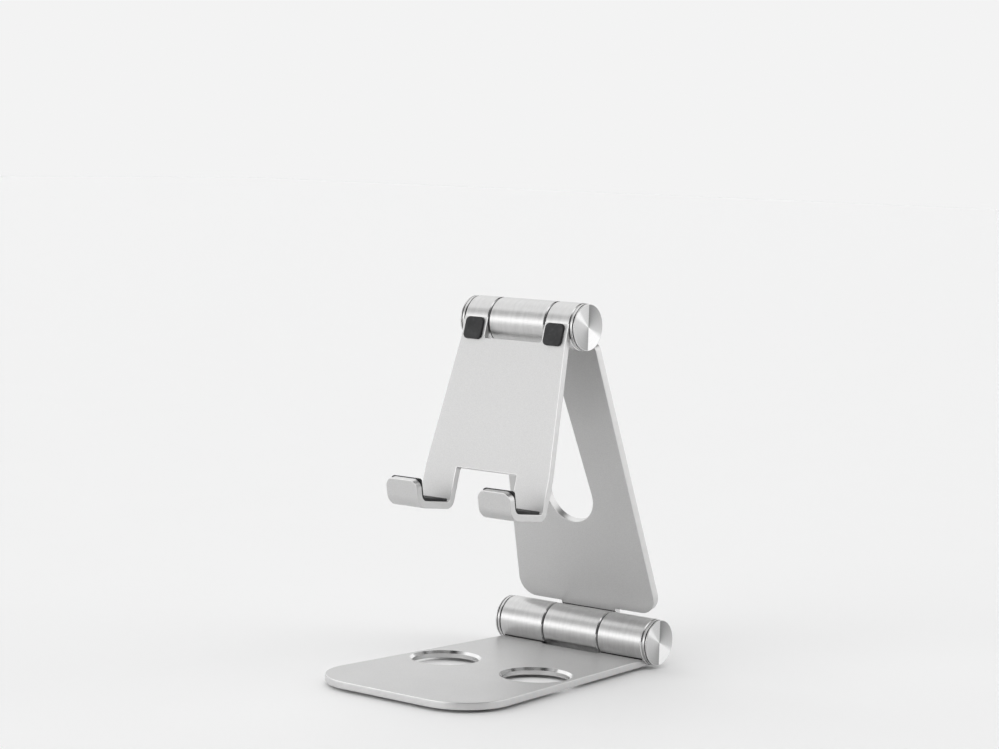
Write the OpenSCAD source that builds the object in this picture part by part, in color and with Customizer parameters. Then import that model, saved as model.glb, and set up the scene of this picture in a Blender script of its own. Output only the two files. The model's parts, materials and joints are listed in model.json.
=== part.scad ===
// Folding phone stand: a base, an upright and a cradle of aluminium sheet on two friction hinges.
// X runs along the hinges, +Y is the back and +Z is up. The origin is on the table, under the
// middle of the footprint.

/* [Base] */
// Depth from the front edge to the back of the lower barrel
base_depth = 113.5; // [111:0.5:120]
// Width of the base at its front edge
base_front_w = 74; // [70:0.5:80]
// Width of the base at the lower hinge axis
base_rear_w = 60.4; // [56:0.2:61.6]
// Thickness of the base sheet
base_t = 2.5; // [2.2:0.1:3]
// Radius of the two front corners
base_corner_r = 18; // [8:0.5:20]
// Diameter of the two holes that the hooks drop into when the stand is folded
hook_hole_d = 22.8; // [20:0.2:24]
// Width of the polished chamfer around each hole
hook_hole_chamfer = 0.9; // [0.4:0.1:1.4]
// Distance of each hole centre from the middle of the base
hook_hole_x = 19.6; // [18:0.1:20.5]
// Distance of the hole centres in front of the lower hinge axis
hook_hole_reach = 51.6; // [46:0.2:56]

/* [Feet] */
// Diameter of each silicone foot
foot_d = 12; // [8:0.5:13]
// Height of the base underside above the table
foot_stand = 1; // [0.6:0.1:1.5]
// Depth of the pocket that each foot is glued into
foot_pocket = 0.5; // [0.3:0.1:0.8]

/* [Barrels] */
// Outside diameter of both barrels
barrel_d = 16; // [16:0.1:16.4]
// Width of the centre knuckle of each hinge
centre_knuckle_w = 23.4; // [22:0.1:24]
// Length of the lower barrel without its end caps
lower_barrel_w = 62; // [62:0.2:64]
// Length of the upper barrel without its end caps
upper_barrel_w = 44.6; // [44.6:0.2:46]
// Thickness of the black friction washers between the knuckles
friction_washer_t = 0.45; // [0.3:0.05:0.6]
// Thickness of the end caps outside the barrel
end_cap_t = 2.1; // [1.8:0.1:2.4]

/* [Hinge pins] */
// Diameter of the pivot screws
pin_d = 6; // [5:0.5:6]
// Radial play of the pins in their bores
pin_play = 0.05; // [0.02:0.01:0.1]
// Diameter of the counterbores that hold the screw head, the springs and the nut
counterbore_d = 11.2; // [11.2:0.1:12]

/* [Upright] */
// Distance between the two hinge axes
axis_spacing = 115; // [112:0.5:120]
// Lean of the upright towards the front, from vertical
upright_lean = 17.4; // [5:0.2:25]
// Thickness of the upright sheet
upright_t = 3; // [2.5:0.1:3.2]
// Width of the upright at its lower edge
upright_low_w = 60.2; // [56:0.2:62]
// Width of the upright at its upper edge
upright_top_w = 43.4; // [42:0.2:46]
// Height of the lower edge above the lower hinge axis, along the upright
upright_low_edge = 7.5; // [7.4:0.1:8.5]
// Distance of the upper edge below the upper hinge axis, along the upright
upright_top_edge = 8.5; // [8:0.1:10]
// Radius of the two lower corners
upright_low_r = 6.5; // [2:0.5:10]
// Radius of the two upper corners
upright_top_r = 2.5; // [1:0.5:5]
// Radius of the wide lower end of the cable opening
opening_low_r = 9.8; // [8:0.2:12]
// Radius of the narrow upper end of the cable opening
opening_top_r = 4.6; // [3:0.2:6]
// Height of the wide end's centre above the lower hinge axis, along the upright
opening_low = 49.3; // [44:0.1:54]
// Height of the narrow end's centre above the lower hinge axis, along the upright
opening_top = 86; // [80:0.5:90]

/* [Cradle] */
// Lean of the cradle from vertical, lower end towards the front
cradle_lean = 15.6; // [5:0.2:30]
// Thickness of the cradle sheet and its hooks
cradle_t = 2.5; // [2.2:0.1:3]
// Width of the cradle at the upper barrel
cradle_top_w = 44.6; // [44:0.1:44.6]
// Width of the cradle across the outer sides of its hooks
cradle_low_w = 53; // [50:0.5:56]
// Distance from the upper hinge axis to the underside of the hooks, along the sheet
cradle_reach = 66.7; // [64:0.1:69]
// Height of the cable notch between the hooks, above their underside
cable_notch_h = 14; // [10:0.5:20]

/* [Hooks] */
// Width of each hook
hook_w = 13.6; // [12:0.1:14]
// Outside radius of the bend from the cradle to the shelf
shelf_bend_r = 3.4; // [3.2:0.1:4]
// Outside radius of the bend from the shelf to the lip
lip_bend_r = 5.1; // [4:0.1:6]
// Flat run of the shelf between its bends
shelf_run = 11.1; // [9:0.1:13]
// Flat run of the lip above its bend
lip_run = 5.5; // [4:0.1:7]
// Fall of the shelf towards the front, from square to the sheet
shelf_fall = 9.1; // [0:0.1:12]
// Outward lean of the lip from the line of the sheet
lip_flare = 25.5; // [5:0.5:30]
// Radius of the lip's two upper corners
lip_corner_r = 3; // [1:0.2:4]

/* [Pads] */
// Thickness of the silicone liner inside each hook
liner_t = 1; // [0.6:0.1:1.4]
// Distance of the liner from the sides of the hook
liner_inset = 0.4; // [0.2:0.1:1]
// Width and height of each pad beside the centre knuckle
ear_pad_size = 7.6; // [6:0.1:8]
// Thickness of each of these pads
ear_pad_t = 1; // [0.6:0.1:1.5]

/* [Hidden] */
$fn = 96;
barrel_r = barrel_d / 2;
pin_r = pin_d / 2;
pin_bore_r = pin_r + pin_play;
counterbore_r = counterbore_d / 2;
knuckle_half = centre_knuckle_w / 2;
knuckle_play = 0.05;
washer_x = knuckle_half + knuckle_play;
outer_knuckle_x = washer_x + friction_washer_t;
lower_half = lower_barrel_w / 2;
upper_half = upper_barrel_w / 2;
hinge_y = base_depth / 2 - barrel_r;
hinge_z = foot_stand + barrel_r;
// The cut beside each centre knuckle stops this far from the hinge axis
notch_reach = 7.8;
bush_wall = 1.3;
bush_r = pin_bore_r + bush_wall;
bush_w = 9;
bush_seat_play = 0.01;
// Wall between the friction washer and the counterbore, in each hinge
lower_web = 7;
upper_web = 2;
// Stack lengths in the counterbore, from the web outwards
thrust_washer_t = 0.7;
disc_spring_t = 0.4;
disc_spring_h = 0.65;
disc_springs = 4;
stack_play = 0.02;
nut_h = 2.8;
nut_flats = 9;
head_h = 3.4;
head_r = 4.9;
socket_flats = 4;
socket_depth = 2;
thread_end = 0.6;
cap_r = barrel_r - 0.1;
cap_spigot_w = 1.2;
cap_gap = 0.3;
cap_gap_depth = 0.5;
cap_ring_end = 1.25;
cap_groove_w = 0.3;
cap_groove_depth = 0.35;
cap_bevel = 0.12;
// Groove that separates each barrel from the face of the sheet that runs into it
relief_r = 0.4;
foot_front_x = 26;
foot_front_inset = 14;
foot_rear_x = 21;
foot_rear_reach = 16;
hook_x = cradle_low_w / 2 - hook_w / 2;
// Arcs reach this far past the lines that they round off, so that the two always cross
arc_reach = 0.003;
liner_corner_r = 1;
ear_pad_corner_r = 1.6;
ear_pad_x = (outer_knuckle_x + upper_half) / 2 - 0.2;
ear_pad_drop = 1;
// Turn of the cradle sheet at the shelf and at the lip, from the straight part of the cradle
shelf_turn = 90 - shelf_fall;
lip_turn = 180 - lip_flare;
shelf_bend_start = cradle_reach - shelf_bend_r * tan(shelf_turn / 2);
// Radii of the two bends on the sheet's inner face, which is the cradle's front
shelf_inner_r = shelf_bend_r - cradle_t;
lip_inner_r = lip_bend_r - cradle_t;
// How many disc springs the upper hinge has, and how far each screw reaches
upper_springs = 2;
lower_tip = nut_from(lower_web, disc_springs) + nut_h + thread_end;
upper_tip = nut_from(upper_web, upper_springs) + nut_h + thread_end;
silver = [0.80, 0.81, 0.82];
polished = [0.88, 0.89, 0.90];
steel = [0.62, 0.63, 0.65];
spring_steel = [0.42, 0.43, 0.46];
bronze = [0.70, 0.52, 0.30];
black = [0.06, 0.06, 0.07];

// ---- Frames: each draws its children at a hinge axis, in the frame of one sheet ----

module at_lower_hinge() {
    translate([0, hinge_y, hinge_z]) children();
}

module in_upright_frame() {
    at_lower_hinge() rotate([upright_lean, 0, 0]) children();
}

module in_cradle_frame() {
    in_upright_frame() translate([0, 0, axis_spacing]) rotate([-upright_lean - cradle_lean, 0, 0]) children();
}

// ---- Shapes that several pieces share ----

// A cylinder along X between two positions
module x_cylinder(r, from, to) {
    translate([from, 0, 0]) rotate([0, 90, 0]) cylinder(r = r, h = to - from);
}

// How far to the side of the axis a barrel's surface is, where it is this far above or below it
function beside_axis(distance) = sqrt(barrel_r * barrel_r - distance * distance);

// The relief groove along a barrel at a point of its surface
module relief(y, z, from, to) {
    translate([0, y, z]) x_cylinder(relief_r, from, to);
}

// A ring along X between two positions
module x_ring(outer, inner, from, to) {
    difference() {
        x_cylinder(outer, from, to);
        x_cylinder(inner, from - 1, to + 1);
    }
}

// Where the round corner i of a convex outline is centred, for corner radius r
function unit(v) = v / norm(v);
function before(points, i) = points[(i + len(points) - 1) % len(points)];
function after(points, i) = points[(i + 1) % len(points)];
function edge_in(points, i) = unit(before(points, i) - points[i]);
function edge_out(points, i) = unit(after(points, i) - points[i]);
function half_angle(points, i) = acos(edge_in(points, i) * edge_out(points, i)) / 2;
function corner_run(points, i, r) = r / tan(half_angle(points, i));
function corner_centre(points, i, r) =
    points[i] + unit(edge_in(points, i) + edge_out(points, i)) * r / sin(half_angle(points, i));

// What a round corner of radius r takes off an outline
module corner_waste(points, i, r) {
    run = corner_run(points, i, r);
    centre = corner_centre(points, i, r);
    difference() {
        polygon([
            points[i] + (points[i] - centre),
            points[i] + edge_in(points, i) * run,
            centre,
            points[i] + edge_out(points, i) * run
        ]);
        translate(centre) circle(r + arc_reach);
    }
}

// A convex outline whose corners have the given radii, with true arcs; 0 leaves a corner sharp
module round_outline(points, radii) {
    difference() {
        polygon(points);
        for (i = [0 : len(points) - 1]) {
            if (radii[i] > 0) {
                corner_waste(points, i, radii[i]);
            }
        }
    }
}

// An upright sheet: an outline in X and Z, from depth y_front back by t
module standing_sheet(y_front, t) {
    translate([0, y_front + t, 0]) rotate([90, 0, 0]) linear_extrude(t) children();
}

// The pair of outer knuckles of a hinge
module outer_knuckles(half) {
    for (side = [0, 180]) {
        rotate([0, 0, side]) x_cylinder(barrel_r, outer_knuckle_x, half);
    }
}

// Pin bore and counterbores through a pair of outer knuckles
module outer_bores(half, web) {
    x_cylinder(pin_bore_r, -half - 1, half + 1);
    for (side = [0, 180]) {
        rotate([0, 0, side]) x_cylinder(counterbore_r, outer_knuckle_x + web, half + 1);
    }
}

// Bore through a centre knuckle, with a seat for a bush at each end
module centre_bores() {
    x_cylinder(pin_bore_r + 0.4, -knuckle_half - 1, knuckle_half + 1);
    for (side = [0, 180]) {
        rotate([0, 0, side])
            x_cylinder(bush_r + bush_seat_play, knuckle_half - bush_w, knuckle_half + 1);
    }
}

// ---- Hinge hardware, along X about the hinge axis ----

module pivot_screw(web, tip) {
    head_from = -outer_knuckle_x - web - head_h;
    difference() {
        union() {
            x_cylinder(pin_r, head_from + head_h - 1, tip);
            x_cylinder(head_r, head_from, head_from + head_h);
        }
        translate([head_from - 1, 0, 0]) rotate([0, 90, 0])
            cylinder(r = socket_flats / sqrt(3), h = socket_depth + 1, $fn = 6);
    }
}

module thrust_washer(web) {
    from = outer_knuckle_x + web;
    x_ring(counterbore_r - 0.3, pin_r + 0.1, from, from + thrust_washer_t);
}

// A stack of cone-shaped spring washers, laid tip to tip and rim to rim
module disc_spring_stack(web, count) {
    from = outer_knuckle_x + web + thrust_washer_t + stack_play;
    inner = pin_r + 0.15;
    outer = counterbore_r - 0.5;
    for (i = [0 : count - 1]) {
        flip = i % 2;
        rim = flip ? disc_spring_h - disc_spring_t : 0;
        eye = flip ? 0 : disc_spring_h - disc_spring_t;
        translate([from + i * (disc_spring_h + stack_play), 0, 0]) rotate([0, 90, 0])
            rotate_extrude() polygon([
                [inner, eye],
                [outer, rim],
                [outer, rim + disc_spring_t],
                [inner, eye + disc_spring_t]
            ]);
    }
}

function nut_from(web, count) =
    outer_knuckle_x + web + thrust_washer_t + stack_play + count * (disc_spring_h + stack_play);

module lock_nut(web, count) {
    from = nut_from(web, count);
    difference() {
        translate([from, 0, 0]) rotate([0, 90, 0])
            cylinder(r = nut_flats / sqrt(3), h = nut_h, $fn = 6);
        x_cylinder(pin_r + 0.02, from - 1, from + nut_h + 1);
    }
}

module bush_pair() {
    for (side = [0, 180]) {
        rotate([0, 0, side]) x_ring(bush_r, pin_bore_r, knuckle_half - bush_w, knuckle_half);
    }
}

module friction_washer(side) {
    rotate([0, 0, side > 0 ? 0 : 180])
        x_ring(barrel_r - 0.25, pin_bore_r + 0.1, washer_x, washer_x + friction_washer_t);
}

// A turned cap: a spigot in the counterbore, a shadow gap, a ring, a groove and the face disc
module end_cap(side, half) {
    ring_from = half + cap_gap;
    groove_from = half + cap_ring_end;
    face = half + end_cap_t;
    rotate([0, 0, side > 0 ? 0 : 180]) rotate([0, 90, 0]) rotate_extrude() polygon([
        [0, half - cap_spigot_w],
        [counterbore_r - 0.01, half - cap_spigot_w],
        [counterbore_r - 0.01, half],
        [cap_r - cap_gap_depth, half],
        [cap_r - cap_gap_depth, ring_from],
        [cap_r, ring_from],
        [cap_r, groove_from],
        [cap_r - cap_groove_depth, groove_from],
        [cap_r - cap_groove_depth, groove_from + cap_groove_w],
        [cap_r, groove_from + cap_groove_w],
        [cap_r, face - cap_bevel],
        [cap_r - cap_bevel, face],
        [0, face]
    ]);
}

// ---- Base ----

module base_outline() {
    front_y = hinge_y + barrel_r - base_depth;
    round_outline(
        [
            [-base_front_w / 2, front_y],
            [base_front_w / 2, front_y],
            [base_rear_w / 2, hinge_y],
            [-base_rear_w / 2, hinge_y]
        ],
        [base_corner_r, base_corner_r, 0, 0]
    );
}

module base_plate() {
    hole_r = hook_hole_d / 2;
    relief_y = beside_axis(barrel_r - base_t);
    color(silver) difference() {
        union() {
            translate([0, 0, foot_stand]) linear_extrude(base_t) base_outline();
            at_lower_hinge() outer_knuckles(lower_half);
        }
        translate([-outer_knuckle_x, hinge_y - notch_reach, -1])
            cube([2 * outer_knuckle_x, 2 * notch_reach + 2, hinge_z + barrel_r + 2]);
        at_lower_hinge() outer_bores(lower_half, lower_web);
        at_lower_hinge() {
            relief(-relief_y, base_t - barrel_r, outer_knuckle_x - 1, base_rear_w / 2);
            relief(-relief_y, base_t - barrel_r, -base_rear_w / 2, 1 - outer_knuckle_x);
        }
        for (side = [-1, 1]) {
            translate([side * hook_hole_x, hinge_y - hook_hole_reach, 0]) {
                cylinder(r = hole_r, h = foot_stand + base_t + 1);
                translate([0, 0, foot_stand + base_t - hook_hole_chamfer])
                    cylinder(r1 = hole_r, r2 = hole_r + 2 * hook_hole_chamfer, h = 2 * hook_hole_chamfer);
            }
        }
        for (side = [-1, 1]) {
            foot_at(side, true) cylinder(d = foot_d, h = foot_stand + foot_pocket);
            foot_at(side, false) cylinder(d = foot_d, h = foot_stand + foot_pocket);
        }
    }
}

module foot_at(side, front) {
    x = front ? foot_front_x : foot_rear_x;
    y = front ? foot_front_inset - base_depth / 2 : hinge_y - foot_rear_reach;
    translate([side * x, y, 0]) children();
}

module foot(side, front) {
    color(black) foot_at(side, front) cylinder(d = foot_d - 0.04, h = foot_stand + foot_pocket);
}

// ---- Upright ----

// The cable opening: two arcs and the straight lines that touch both
module upright_opening() {
    swing = asin((opening_low_r - opening_top_r) / (opening_top - opening_low));
    low = (opening_low_r - arc_reach) * [cos(swing), sin(swing)];
    top = (opening_top_r - arc_reach) * [cos(swing), sin(swing)];
    translate([0, opening_low]) circle(opening_low_r);
    translate([0, opening_top]) circle(opening_top_r);
    polygon([
        [-low.x, opening_low + low.y],
        [low.x, opening_low + low.y],
        [top.x, opening_top + top.y],
        [-top.x, opening_top + top.y]
    ]);
}

module upright_plate() {
    top_z = axis_spacing - upright_top_edge;
    relief_z = beside_axis(barrel_r - upright_t);
    color(silver) in_upright_frame() difference() {
        union() {
            standing_sheet(barrel_r - upright_t, upright_t) difference() {
                round_outline(
                    [
                        [-upright_low_w / 2, upright_low_edge],
                        [upright_low_w / 2, upright_low_edge],
                        [upright_top_w / 2, top_z],
                        [-upright_top_w / 2, top_z]
                    ],
                    [upright_low_r, upright_low_r, upright_top_r, upright_top_r]
                );
                upright_opening();
            }
            for (z = [0, axis_spacing]) {
                translate([0, 0, z]) x_cylinder(barrel_r, -knuckle_half, knuckle_half);
            }
            translate([-knuckle_half, barrel_r - upright_t, 0])
                cube([centre_knuckle_w, upright_t, upright_low_edge + 1]);
            translate([-knuckle_half, barrel_r - upright_t, top_z - 1])
                cube([centre_knuckle_w, upright_t, upright_top_edge + 1]);
        }
        centre_bores();
        translate([0, 0, axis_spacing]) centre_bores();
        for (z = [relief_z, axis_spacing - relief_z]) {
            relief(barrel_r - upright_t, z, -knuckle_half - 1, knuckle_half + 1);
        }
    }
}

// ---- Cradle: a sheet that is bent twice, into the shelf and the lip of each hook ----

// The side view of the sheet, in Y and Z of the cradle frame. Turned by an angle from the
// straight part, the sheet runs on along run_at(angle), and out_at(angle) points out of its rear.
function run_at(angle) = [-sin(angle), -cos(angle)];
function out_at(angle) = [cos(angle), -sin(angle)];
function shelf_centre() = [-barrel_r - shelf_inner_r, -shelf_bend_start];
function lip_centre() = shelf_centre() + out_at(shelf_turn) * (shelf_inner_r - lip_inner_r)
    + run_at(shelf_turn) * shelf_run;
function lip_end() = lip_centre() + out_at(lip_turn) * lip_inner_r + run_at(lip_turn) * lip_run;

// Where two straight parts meet outside the bend of radius r between them
function fold_corner(centre, from, to, r) =
    centre + unit(out_at(from) + out_at(to)) * r / cos((to - from) / 2);

// Everything in front of the sheet's surface at the given depth behind its inner face
module fold_outline(depth, top, past_lip) {
    round_outline(
        [
            [-barrel_r + depth, top],
            fold_corner(shelf_centre(), 0, shelf_turn, shelf_inner_r + depth),
            fold_corner(lip_centre(), shelf_turn, lip_turn, lip_inner_r + depth),
            lip_end() + out_at(lip_turn) * depth + run_at(lip_turn) * past_lip
        ],
        [0, shelf_inner_r + depth, lip_inner_r + depth, 0]
    );
}

// A block that starts at a point of the sheet and covers all that follows in the given turn
module beyond(point, turn) {
    polygon([
        point - out_at(turn) * 3,
        point + out_at(turn) * 6,
        point + out_at(turn) * 6 + run_at(turn) * 12,
        point - out_at(turn) * 3 + run_at(turn) * 12
    ]);
}

module cradle_profile() {
    difference() {
        fold_outline(cradle_t, 30, 8);
        fold_outline(0, 60, 20);
        translate([-barrel_r - 20, 0]) square([40, 40]);
        beyond(lip_end(), lip_turn);
    }
}

// A side view, drawn out along X from the middle by half a width each way
module across(half) {
    translate([-half, 0, 0]) rotate([90, 0, 90]) linear_extrude(2 * half) children();
}

// Takes the two corners off the end of a lip that is w wide and lies from depth on by t
module lip_corners(side, w, depth, t, r) {
    translate([side * hook_x, lip_end().x, lip_end().y]) rotate([-lip_turn, 0, 0])
        for (end = [-1, 1]) {
            translate([end * (w / 2 - r + arc_reach), depth + t + 1, r - arc_reach])
                rotate([90, 0, 0]) linear_extrude(t + 2) difference() {
                    translate([end > 0 ? 0 : -r - 1, -r - 1]) square(r + 1);
                    circle(r);
                }
        }
}

module cradle_sheet() {
    notch_half = cradle_low_w / 2 - hook_w;
    notch_top = -cradle_reach + cable_notch_h;
    depth = 3 * barrel_r;
    difference() {
        across(cradle_low_w / 2) cradle_profile();
        for (side = [-1, 1]) {
            standing_sheet(-depth, 2 * depth) polygon([
                [side * cradle_top_w / 2, 1],
                [side * cradle_top_w / 2, -notch_reach],
                [side * cradle_low_w / 2, notch_top],
                [side * (cradle_low_w / 2 + 1), notch_top],
                [side * (cradle_low_w / 2 + 1), 1]
            ]);
            lip_corners(side, hook_w, 0, cradle_t, lip_corner_r);
        }
        translate([-notch_half, -2 * depth, notch_top - depth]) cube([2 * notch_half, 4 * depth, depth]);
    }
}

module cradle_plate() {
    color(silver) in_cradle_frame() difference() {
        union() {
            cradle_sheet();
            outer_knuckles(upper_half);
        }
        translate([-outer_knuckle_x, -barrel_r - 1, -notch_reach])
            cube([2 * outer_knuckle_x, 2 * barrel_r + 2, notch_reach + barrel_r + 1]);
        outer_bores(upper_half, upper_web);
    }
}

// ---- Pads ----

// A liner that lies on the shelf, round the bend and up the lip, inside the hook
module hook_liner(side) {
    half = hook_w / 2 - liner_inset;
    color(black) in_cradle_frame() difference() {
        translate([side * hook_x, 0, 0]) across(half) difference() {
            fold_outline(0, 30, 8);
            fold_outline(-liner_t, 60, 20);
            beyond(lip_end(), lip_turn);
            shelf_start = shelf_centre() + out_at(shelf_turn) * shelf_inner_r;
            polygon([
                shelf_start - out_at(shelf_turn) * 3,
                shelf_start + out_at(shelf_turn) * 3,
                [0, -cradle_reach - 3],
                [0, 40],
                [-60, 40]
            ]);
        }
        lip_corners(side, 2 * half, -liner_t, liner_t, liner_corner_r);
    }
}

module ear_pad(side) {
    half = ear_pad_size / 2;
    color(black) in_cradle_frame() translate([side * ear_pad_x, 0, -ear_pad_drop - half])
        standing_sheet(-barrel_r - ear_pad_t, ear_pad_t) round_outline(
            [[-half, -half], [half, -half], [half, half], [-half, half]],
            [ear_pad_corner_r, ear_pad_corner_r, ear_pad_corner_r, ear_pad_corner_r]
        );
}

base_plate();
upright_plate();
cradle_plate();
foot(-1, true);  // foot_front_left
foot(1, true);  // foot_front_right
foot(-1, false);  // foot_rear_left
foot(1, false);  // foot_rear_right
ear_pad(-1);  // ear_pad_left
ear_pad(1);  // ear_pad_right
hook_liner(-1);  // hook_liner_left
hook_liner(1);  // hook_liner_right
color(steel) at_lower_hinge() pivot_screw(lower_web, lower_tip);  // lower_pivot_screw
color(steel) at_lower_hinge() lock_nut(lower_web, disc_springs);  // lower_lock_nut
color(spring_steel) at_lower_hinge() disc_spring_stack(lower_web, disc_springs);  // lower_disc_springs
color(steel) at_lower_hinge() thrust_washer(lower_web);  // lower_thrust_washer
color(bronze) in_upright_frame() bush_pair();  // lower_bushes
color(black) at_lower_hinge() friction_washer(-1);  // lower_friction_washer_left
color(black) at_lower_hinge() friction_washer(1);  // lower_friction_washer_right
color(polished) at_lower_hinge() end_cap(-1, lower_half);  // lower_end_cap_left
color(polished) at_lower_hinge() end_cap(1, lower_half);  // lower_end_cap_right
color(steel) in_cradle_frame() pivot_screw(upper_web, upper_tip);  // upper_pivot_screw
color(steel) in_cradle_frame() lock_nut(upper_web, upper_springs);  // upper_lock_nut
color(spring_steel) in_cradle_frame() disc_spring_stack(upper_web, upper_springs);  // upper_disc_springs
color(steel) in_cradle_frame() thrust_washer(upper_web);  // upper_thrust_washer
color(bronze) in_upright_frame() translate([0, 0, axis_spacing]) bush_pair();  // upper_bushes
color(black) in_cradle_frame() friction_washer(-1);  // upper_friction_washer_left
color(black) in_cradle_frame() friction_washer(1);  // upper_friction_washer_right
color(polished) in_cradle_frame() end_cap(-1, upper_half);  // upper_end_cap_left
color(polished) in_cradle_frame() end_cap(1, upper_half);  // upper_end_cap_right
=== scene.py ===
import json
import math

import bmesh
import bpy
from mathutils import Euler, Matrix, Vector
from mathutils.geometry import tessellate_polygon


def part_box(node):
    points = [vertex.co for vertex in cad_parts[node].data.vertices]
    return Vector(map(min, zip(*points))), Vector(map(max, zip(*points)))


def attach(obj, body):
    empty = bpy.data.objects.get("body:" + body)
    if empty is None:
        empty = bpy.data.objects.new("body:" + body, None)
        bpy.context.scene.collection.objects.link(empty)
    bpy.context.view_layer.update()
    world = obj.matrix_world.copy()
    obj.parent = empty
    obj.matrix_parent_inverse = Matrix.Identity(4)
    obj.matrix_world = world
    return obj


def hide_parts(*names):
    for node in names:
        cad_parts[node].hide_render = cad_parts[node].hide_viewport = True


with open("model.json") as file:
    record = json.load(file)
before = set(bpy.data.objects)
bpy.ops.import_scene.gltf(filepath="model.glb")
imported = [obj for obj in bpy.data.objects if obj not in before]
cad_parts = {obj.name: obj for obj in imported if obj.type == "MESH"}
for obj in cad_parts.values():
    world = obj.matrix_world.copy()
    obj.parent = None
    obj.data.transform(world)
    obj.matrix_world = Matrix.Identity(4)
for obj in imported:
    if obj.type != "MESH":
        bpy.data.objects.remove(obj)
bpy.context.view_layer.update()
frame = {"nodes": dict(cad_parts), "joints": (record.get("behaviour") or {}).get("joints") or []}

MM = 0.001

# ---- Where the CAD puts the two hinges and the three sheets ----

ANCHOR = {joint["name"]: Vector(joint["pos_m"]) for joint in frame["joints"]}
LOWER = ANCHOR["lower_hinge"]
UPPER = ANCHOR["upper_hinge"]
SPAN = UPPER - LOWER
UPRIGHT_LEAN = math.atan2(-SPAN.y, SPAN.z)
CRADLE_LEAN = math.radians(15.6)


def about(axis, lean):
    """The frame, in millimetres, of a sheet that leans about a hinge axis."""
    return Matrix.Translation(axis) @ Matrix.Rotation(lean, 4, "X") @ Matrix.Scale(MM, 4)


AT_LOWER = about(LOWER, 0)
IN_UPRIGHT = about(LOWER, UPRIGHT_LEAN)
IN_UPRIGHT_TOP = about(UPPER, UPRIGHT_LEAN)
IN_CRADLE = about(UPPER, -CRADLE_LEAN)

# ---- Sizes in millimetres, about the hinge axes, as in the CAD ----

AXES_APART = SPAN.length / MM
BARREL_R = 8.0
KNUCKLE_HALF = 11.7
WASHER_X = 11.75
OUTER_X = 12.2
LOWER_HALF = 31.0
UPPER_HALF = 22.3
KNUCKLE_LEAD = 0.3
NOTCH_REACH = 7.8
NOTCH_R = 0.6
PIN_BORE_R = 3.05
COUNTERBORE_R = 5.6
LOWER_WEB = 7.0
UPPER_WEB = 2.0
BUSH_SEAT_R = 4.36
BUSH_W = 9.0
CENTRE_BORE_R = 3.45
# The sheets reach into the knuckles up to here, short of the axis, where they are almost tangent
SHEET_IN = 0.6

BASE_T = 2.5
BASE_DROP = -BARREL_R
BASE_FRONT_HALF = 37.0
BASE_REAR_HALF = 30.2
BASE_FRONT_Y = -105.5
BASE_CORNER_R = 18.0
HOOK_HOLE_R = 11.4
HOOK_HOLE_CHAMFER = 0.9
HOOK_HOLE_X = 19.6
HOOK_HOLE_Y = -51.6

UPRIGHT_T = 3.0
UPRIGHT_LOW_HALF = 30.1
UPRIGHT_TOP_HALF = 21.7
UPRIGHT_LOW_Z = 7.5
UPRIGHT_TOP_Z = AXES_APART - 8.5
UPRIGHT_LOW_R = 6.5
UPRIGHT_TOP_R = 2.5
NECK_R = 0.4
OPENING_LOW_R = 9.8
OPENING_TOP_R = 4.6
OPENING_LOW_Z = 49.3
OPENING_TOP_Z = 86.0

CRADLE_T = 2.5
CRADLE_TOP_HALF = 22.3
CRADLE_LOW_HALF = 26.5
CRADLE_REACH = 66.7
CABLE_NOTCH_H = 14.0
CABLE_NOTCH_R = 0.5
HOOK_W = 13.6
SHELF_BEND_R = 3.4
LIP_BEND_R = 5.1
SHELF_RUN = 11.1
LIP_RUN = 5.5
LIP_CORNER_R = 3.0
SHELF_TURN = math.radians(90 - 9.1)
LIP_TURN = math.radians(180 - 25.5)
LINER_T = 1.0
LINER_INSET = 0.4
LINER_EDGE = 0.22
LINER_REAR_R = 0.3
LINER_TOP_R = 1.0
EAR_PAD = 7.6
EAR_PAD_R = 1.6
EAR_PAD_X = (OUTER_X + UPPER_HALF) / 2 - 0.2
EAR_PAD_TOP = -1.0

WASHER_R = 7.55
WASHER_BORE_R = 3.15
WASHER_EASE = 0.08

EDGE = 0.3
RELIEF_R = 0.4

# ---- How finely the shapes are made ----

RING_SEGMENTS = 128
HOLE_STEPS = 96
FOOT_SEGMENTS = 72
RELIEF_SEGMENTS = 32
BEND_STEPS = 14
ARC_STEP = math.radians(5)
SHARP = math.radians(28)
CAP_SHARP = math.radians(20)
SAME_PLANE = math.radians(0.1)
# Points closer than this are one, in metres, and the same for a cut across a flat sheet in millimetres
WELD = 1e-7
CUT_TOLERANCE = 1e-5

# Places of a sheet's or knuckle's materials in its list; the last is the near-black painted shade for
# grooves
BLASTED, POLISHED, MILLED, TURNED, SHADE_PAINTED = range(5)


# ---- Outlines ----


def mirrored(corners):
    """The left half of an outline, from the (across, along, radius) corners of its right half."""
    return [(-x, y, radius) for x, y, radius in corners[::-1]]


def round_path(corners):
    """A closed outline of (across, along, radius) corners; a radius of 0 leaves one sharp."""
    out = []
    points = [Vector(corner[:2]) for corner in corners]
    for i, corner in enumerate(points):
        radius = corners[i][2]
        if radius == 0:
            out.append(corner)
            continue
        back = (points[i - 1] - corner).normalized()
        on = (points[(i + 1) % len(points)] - corner).normalized()
        half = back.angle(on) / 2
        centre = corner + (back + on).normalized() * radius / math.sin(half)
        first = corner + back * radius / math.tan(half) - centre
        last = corner + on * radius / math.tan(half) - centre
        sweep = math.pi - 2 * half
        turn = math.copysign(sweep, first.x * last.y - first.y * last.x)
        steps = max(2, math.ceil(sweep / ARC_STEP))
        for k in range(steps + 1):
            c, d = math.cos(turn * k / steps), math.sin(turn * k / steps)
            out.append(centre + Vector((c * first.x - d * first.y, d * first.x + c * first.y)))
    return out


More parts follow.
